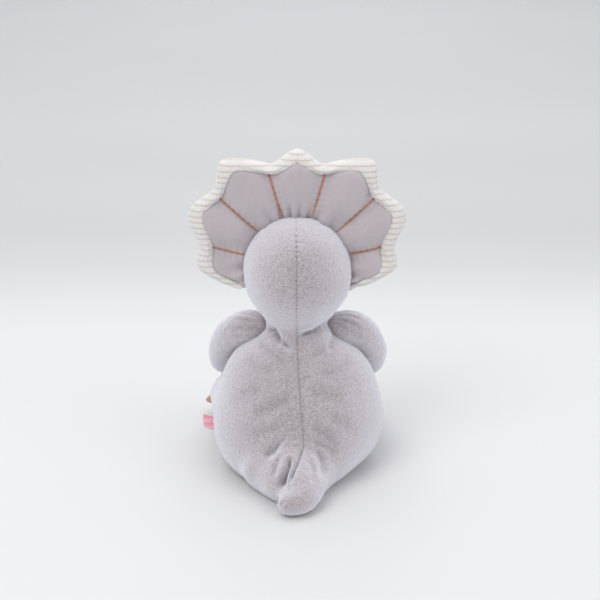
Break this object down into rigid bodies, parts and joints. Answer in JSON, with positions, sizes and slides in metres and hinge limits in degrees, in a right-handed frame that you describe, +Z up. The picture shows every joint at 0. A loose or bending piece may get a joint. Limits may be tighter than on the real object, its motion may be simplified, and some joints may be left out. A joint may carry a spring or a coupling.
{
  "type": "stuffed dinosaur",
  "caption": "Seated stuffed dinosaur with a big scalloped, quilted frill behind its round head, tube arms, short legs and a stub tail.",
  "frame": {"origin": "on the floor under the middle of the whole toy", "axes": "+Z up, the toy faces -Y, its left side is +X"},
  "size_m": [0.1624, 0.2053, 0.248],
  "materials": {
    "plush": "short soft pile with pale tips",
    "smooth_cotton": "smooth woven cotton sateen",
    "striped_terry": "fine looped velour with woven stripes",
    "suede": "soft brushed suede cloth",
    "thread": "thick twisted sewing thread",
    "eye_thread": "dense satin-stitch embroidery",
    "nostril_thread": "small satin-stitch embroidery",
    "filling": "white polyester filling",
    "pouch_cloth": "plain cotton pouch with pellets",
    "label_ribbon": "woven satin ribbon"
  },
  "bodies": {
    "torso": {"torso_back_left": "plush", "torso_back_right": "plush", "belly_panel": "striped_terry", "seat_panel": "plush", "torso_stuffing": "filling", "pellet_pouch": "pouch_cloth"},
    "neck": {"neck_cover": "plush", "neck_stuffing": "filling"},
    "head": {"head_back_left": "plush", "head_back_right": "plush", "face_left": "plush", "face_right": "plush", "chin_panel": "striped_terry", "head_stuffing": "filling", "brow_horn_left": "suede", "brow_horn_right": "suede", "nose_horn": "suede", "eye_left": "eye_thread", "eye_right": "eye_thread", "nostrils": "nostril_thread"},
    "frill": {"frill_back_panel": "smooth_cotton", "frill_border": "striped_terry", "frill_front_panel": "striped_terry", "frill_wadding": "filling", "frill_stitching": "thread"},
    "left_arm": {"arm_left": "plush", "arm_left_stuffing": "filling"},
    "right_arm": {"arm_right": "plush", "arm_right_stuffing": "filling"},
    "left_leg": {"leg_left": "plush", "leg_left_stuffing": "filling", "sole_left": "striped_terry", "claws_left": "suede"},
    "right_leg": {"leg_right": "plush", "leg_right_stuffing": "filling", "sole_right": "striped_terry", "claws_right": "suede"},
    "tail": {"tail_cover": "plush", "tail_stuffing": "filling"},
    "label": {"side_label": "label_ribbon"}
  },
  "joints": [
    {"name": "neck_turn", "type": "hinge", "parent": "torso", "child": "neck", "pos_m": [0, -0.004, 0.111], "axis": [0, 0, 1], "range_deg": [-35, 35], "stiffness_Nm_per_rad": 0.35},
    {"name": "head_nod", "type": "hinge", "parent": "neck", "child": "head", "pos_m": [0, -0.004, 0.111], "axis": [1, 0, 0], "range_deg": [-12, 15], "stiffness_Nm_per_rad": 0.6},
    {"name": "frill_flop", "type": "hinge", "parent": "head", "child": "frill", "pos_m": [0, -0.004, 0.1575], "axis": [1, 0, 0], "range_deg": [-12, 12], "stiffness_Nm_per_rad": 0.15},
    {"name": "left_arm_swing", "type": "hinge", "parent": "torso", "child": "left_arm", "pos_m": [0.036, -0.012, 0.107], "axis": [1, 0, 0], "range_deg": [-50, 0], "stiffness_Nm_per_rad": 0.12},
    {"name": "right_arm_swing", "type": "hinge", "parent": "torso", "child": "right_arm", "pos_m": [-0.036, -0.012, 0.107], "axis": [1, 0, 0], "range_deg": [-50, 0], "stiffness_Nm_per_rad": 0.12},
    {"name": "left_leg_lift", "type": "hinge", "parent": "torso", "child": "left_leg", "pos_m": [0.047, -0.044, 0.0202], "axis": [1, 0, 0], "range_deg": [-18, 0], "stiffness_Nm_per_rad": 0.15},
    {"name": "right_leg_lift", "type": "hinge", "parent": "torso", "child": "right_leg", "pos_m": [-0.047, -0.044, 0.0202], "axis": [1, 0, 0], "range_deg": [-18, 0], "stiffness_Nm_per_rad": 0.15},
    {"name": "tail_wag", "type": "hinge", "parent": "torso", "child": "tail", "pos_m": [0, 0.072, 0.0194], "axis": [0, 0, 1], "range_deg": [-20, 20], "stiffness_Nm_per_rad": 0.08},
    {"name": "label_flap", "type": "hinge", "parent": "torso", "child": "label", "pos_m": [0.0662, -0.002, 0.028], "axis": [0, 0, 1], "range_deg": [-35, 35], "stiffness_Nm_per_rad": 0.0006}
  ]
}
